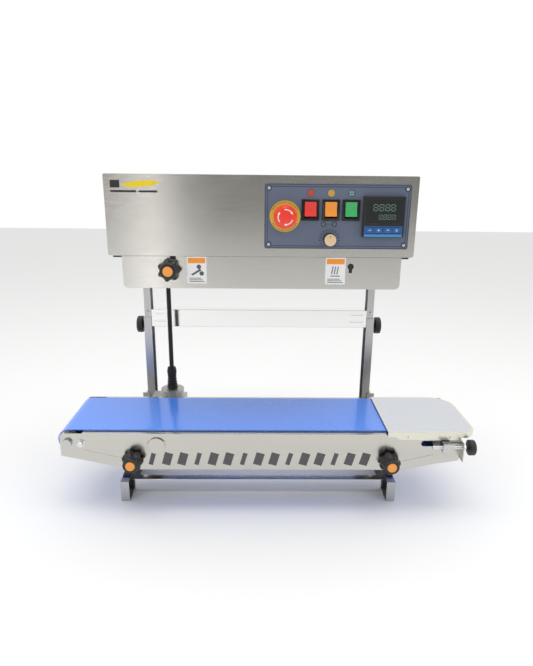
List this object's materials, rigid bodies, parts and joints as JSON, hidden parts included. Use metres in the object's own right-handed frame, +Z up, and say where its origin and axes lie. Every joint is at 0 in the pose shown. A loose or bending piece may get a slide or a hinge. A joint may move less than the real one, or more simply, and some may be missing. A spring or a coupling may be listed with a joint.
{
  "type": "continuous band sealer",
  "caption": "Bench sealer with a heated band head on adjustable posts above a flat belt conveyor, control panel at the front.",
  "frame": {"origin": "middle of the footprint, on the surface the machine stands on", "axes": "+X along the conveyor towards the extension table, +Y away from the operator, +Z up"},
  "size_m": [0.8342, 0.3644, 0.67],
  "materials": {
    "brushed_steel_panels": "brushed stainless sheet",
    "frame_steel": "zinc-bright sheet steel",
    "polished_steel": "polished",
    "black_painted_steel": "satin black",
    "black_plastic": "moulded",
    "belt_blue": "smooth glossy belt",
    "panel_blue": "printed overlay, satin",
    "red_plastic": "gloss",
    "yellow_plastic": "satin",
    "orange_plastic": "gloss",
    "green_plastic": "gloss",
    "key_blue": "soft keys",
    "machined_steel": "turned",
    "black_rubber": "moulded",
    "band_cloth": "coated glass cloth",
    "cast_aluminium": "as cast"
  },
  "bodies": {
    "base": {"conveyor_front_plate": "brushed_steel_panels", "conveyor_rear_plate": "brushed_steel_panels", "bearing_cover": "brushed_steel_panels", "base_side_left": "frame_steel", "base_side_right": "frame_steel", "lower_post_left": "frame_steel", "lower_post_right": "frame_steel", "belt_bed": "frame_steel", "extension_table": "frame_steel", "base_crossbar_front": "polished_steel", "base_crossbar_rear": "polished_steel", "upper_crossbar": "polished_steel", "nose_axle": "polished_steel", "conveyor_support_left": "black_painted_steel", "conveyor_support_right": "black_painted_steel", "conveyor_belt": "belt_blue", "gearbox_housing": "cast_aluminium"},
    "head": {"head_casing": "brushed_steel_panels", "head_rear_cover": "brushed_steel_panels", "front_guard": "brushed_steel_panels", "rear_guard": "brushed_steel_panels", "upper_post_left": "frame_steel", "upper_post_right": "frame_steel", "mounting_plate": "black_painted_steel", "temperature_controller": "black_plastic", "power_inlet": "black_plastic", "control_panel": "panel_blue", "estop_ring": "yellow_plastic", "drive_motor": "machined_steel", "sealing_band_front": "band_cloth", "sealing_band_rear": "band_cloth", "heater_cooler_front": "cast_aluminium", "heater_cooler_rear": "cast_aluminium"},
    "clamp_knob_left": {"clamp_knob_left": "black_plastic"},
    "clamp_knob_right": {"clamp_knob_right": "black_plastic"},
    "conveyor_knob_left": {"conveyor_knob_left": "black_plastic"},
    "conveyor_knob_right": {"conveyor_knob_right": "black_plastic"},
    "guard_knob": {"guard_knob": "black_plastic"},
    "tension_screw_front": {"tension_screw_front": "black_plastic"},
    "tension_screw_rear": {"tension_screw_rear": "black_plastic"},
    "speed_dial": {"speed_dial": "black_plastic"},
    "estop_button": {"estop_button": "red_plastic"},
    "switch_rocker_1": {"switch_rocker_1": "red_plastic"},
    "switch_rocker_2": {"switch_rocker_2": "orange_plastic"},
    "switch_rocker_3": {"switch_rocker_3": "green_plastic"},
    "controller_key_1": {"controller_key_1": "key_blue"},
    "controller_key_2": {"controller_key_2": "key_blue"},
    "controller_key_3": {"controller_key_3": "key_blue"},
    "controller_key_4": {"controller_key_4": "key_blue"},
    "nose_roller": {"nose_roller": "machined_steel"},
    "tail_roller": {"tail_roller": "machined_steel"},
    "tail_axle": {"tail_axle": "machined_steel"},
    "motor_pinion": {"motor_pinion": "machined_steel"},
    "drive_shaft_upper": {"drive_shaft_upper": "machined_steel"},
    "drive_shaft_lower": {"drive_shaft_lower": "black_rubber"},
    "drive_roller": {"drive_roller": "black_rubber"},
    "drive_wheel_front": {"drive_wheel_front": "machined_steel"},
    "drive_wheel_rear": {"drive_wheel_rear": "machined_steel"},
    "idler_wheel_front": {"idler_wheel_front": "machined_steel"},
    "idler_wheel_rear": {"idler_wheel_rear": "machined_steel"}
  },
  "joints": [
    {"name": "head_height", "type": "slide", "parent": "base", "child": "head", "axis": [0, 0, 1], "range_m": [-0.1, 0.02]},
    {"name": "clamp_knob_left_turn", "type": "hinge", "parent": "base", "child": "clamp_knob_left", "pos_m": [-0.28865, 0.13015, 0.326], "axis": [-1, 0, 0], "range_deg": [-360, 0]},
    {"name": "clamp_knob_right_turn", "type": "hinge", "parent": "base", "child": "clamp_knob_right", "pos_m": [0.25695, 0.13015, 0.326], "axis": [1, 0, 0], "range_deg": [-360, 0]},
    {"name": "conveyor_knob_left_turn", "type": "hinge", "parent": "base", "child": "conveyor_knob_left", "pos_m": [-0.26685, -0.14785, 0.1236], "axis": [0, -1, 0], "range_deg": [-360, 0]},
    {"name": "conveyor_knob_right_turn", "type": "hinge", "parent": "base", "child": "conveyor_knob_right", "pos_m": [0.24515, -0.14785, 0.1217], "axis": [0, -1, 0], "range_deg": [-360, 0]},
    {"name": "guard_knob_turn", "type": "hinge", "parent": "head", "child": "guard_knob", "pos_m": [-0.18475, -0.11485, 0.499], "axis": [0, -1, 0], "range_deg": [-360, 0]},
    {"name": "estop_press", "type": "slide", "parent": "head", "child": "estop_button", "axis": [0, 1, 0], "range_m": [0, 0.004], "stiffness_N_per_m": 600},
    {"name": "switch_rocker_1_tilt", "type": "hinge", "parent": "head", "child": "switch_rocker_1", "pos_m": [0.07515, -0.10985, 0.61], "axis": [1, 0, 0], "range_deg": [0, 16]},
    {"name": "switch_rocker_2_tilt", "type": "hinge", "parent": "head", "child": "switch_rocker_2", "pos_m": [0.11215, -0.10985, 0.61], "axis": [1, 0, 0], "range_deg": [0, 16]},
    {"name": "switch_rocker_3_tilt", "type": "hinge", "parent": "head", "child": "switch_rocker_3", "pos_m": [0.14875, -0.10985, 0.61], "axis": [1, 0, 0], "range_deg": [0, 16]},
    {"name": "speed_dial_turn", "type": "hinge", "parent": "head", "child": "speed_dial", "pos_m": [0.11165, -0.11685, 0.5577], "axis": [0, 1, 0], "range_deg": [-135, 135]},
    {"name": "controller_key_1_press", "type": "slide", "parent": "head", "child": "controller_key_1", "axis": [0, 1, 0], "range_m": [0, 0.0006], "stiffness_N_per_m": 300},
    {"name": "controller_key_2_press", "type": "slide", "parent": "head", "child": "controller_key_2", "axis": [0, 1, 0], "range_m": [0, 0.0006], "stiffness_N_per_m": 300},
    {"name": "controller_key_3_press", "type": "slide", "parent": "head", "child": "controller_key_3", "axis": [0, 1, 0], "range_m": [0, 0.0006], "stiffness_N_per_m": 300},
    {"name": "controller_key_4_press", "type": "slide", "parent": "head", "child": "controller_key_4", "axis": [0, 1, 0], "range_m": [0, 0.0006], "stiffness_N_per_m": 300},
    {"name": "drive_shaft_upper_spin", "type": "hinge", "parent": "head", "child": "drive_shaft_upper", "pos_m": [-0.21885, 0.06415, 0.55], "axis": [0, 0, 1], "continuous": true},
    {"name": "drive_shaft_lower_spin", "type": "hinge", "parent": "base", "child": "drive_shaft_lower", "pos_m": [-0.21885, 0.06415, 0.2], "axis": [0, 0, 1], "continuous": true},
    {"name": "drive_wheel_rear_spin", "type": "hinge", "parent": "head", "child": "drive_wheel_rear", "pos_m": [-0.23512, -0.02335, 0.5], "axis": [0, 0, 1], "continuous": true},
    {"name": "drive_wheel_front_spin", "type": "hinge", "parent": "head", "child": "drive_wheel_front", "pos_m": [-0.23512, -0.08135, 0.5], "axis": [0, 0, 1], "continuous": true},
    {"name": "idler_wheel_rear_spin", "type": "hinge", "parent": "head", "child": "idler_wheel_rear", "pos_m": [0.20515, -0.02335, 0.5], "axis": [0, 0, 1], "continuous": true},
    {"name": "idler_wheel_front_spin", "type": "hinge", "parent": "head", "child": "idler_wheel_front", "pos_m": [0.20515, -0.08135, 0.5], "axis": [0, 0, 1], "continuous": true},
    {"name": "motor_pinion_spin", "type": "hinge", "parent": "head", "child": "motor_pinion", "pos_m": [-0.14385, 0.06415, 0.564], "axis": [0, 0, 1], "continuous": true},
    {"name": "drive_roller_spin", "type": "hinge", "parent": "base", "child": "drive_roller", "pos_m": [-0.21885, -0.05785, 0.1524], "axis": [0, 1, 0], "continuous": true},
    {"name": "nose_roller_spin", "type": "hinge", "parent": "base", "child": "nose_roller", "pos_m": [-0.39465, -0.05785, 0.158], "axis": [0, 1, 0], "continuous": true},
    {"name": "belt_tension", "type": "slide", "parent": "base", "child": "tail_axle", "axis": [1, 0, 0], "range_m": [-0.008, 0]},
    {"name": "tail_roller_spin", "type": "hinge", "parent": "tail_axle", "child": "tail_roller", "pos_m": [0.35615, -0.05785, 0.158], "axis": [0, 1, 0], "continuous": true},
    {"name": "tension_screw_front_turn", "type": "hinge", "parent": "base", "child": "tension_screw_front", "pos_m": [0.38815, -0.15885, 0.1555], "axis": [1, 0, 0], "range_deg": [-2310, 0]},
    {"name": "tension_screw_rear_turn", "type": "hinge", "parent": "base", "child": "tension_screw_rear", "pos_m": [0.38815, 0.04815, 0.1555], "axis": [1, 0, 0], "range_deg": [-2310, 0]}
  ],
  "couplings": [
    {"joint": "drive_shaft_lower_spin", "follows": "drive_shaft_upper_spin", "ratio": 1},
    {"joint": "drive_wheel_rear_spin", "follows": "drive_shaft_upper_spin", "ratio": -2.069},
    {"joint": "drive_wheel_front_spin", "follows": "drive_shaft_upper_spin", "ratio": 2.069},
    {"joint": "idler_wheel_rear_spin", "follows": "drive_shaft_upper_spin", "ratio": -2.069},
    {"joint": "idler_wheel_front_spin", "follows": "drive_shaft_upper_spin", "ratio": 2.069},
    {"joint": "motor_pinion_spin", "follows": "drive_shaft_upper_spin", "ratio": -4},
    {"joint": "drive_roller_spin", "follows": "drive_shaft_upper_spin", "ratio": -4},
    {"joint": "nose_roller_spin", "follows": "drive_shaft_upper_spin", "ratio": -2.8911},
    {"joint": "tail_roller_spin", "follows": "drive_shaft_upper_spin", "ratio": -2.8911},
    {"joint": "tension_screw_front_turn", "follows": "belt_tension", "rad_per_m": 5026.5},
    {"joint": "tension_screw_rear_turn", "follows": "belt_tension", "rad_per_m": 5026.5}
  ]
}
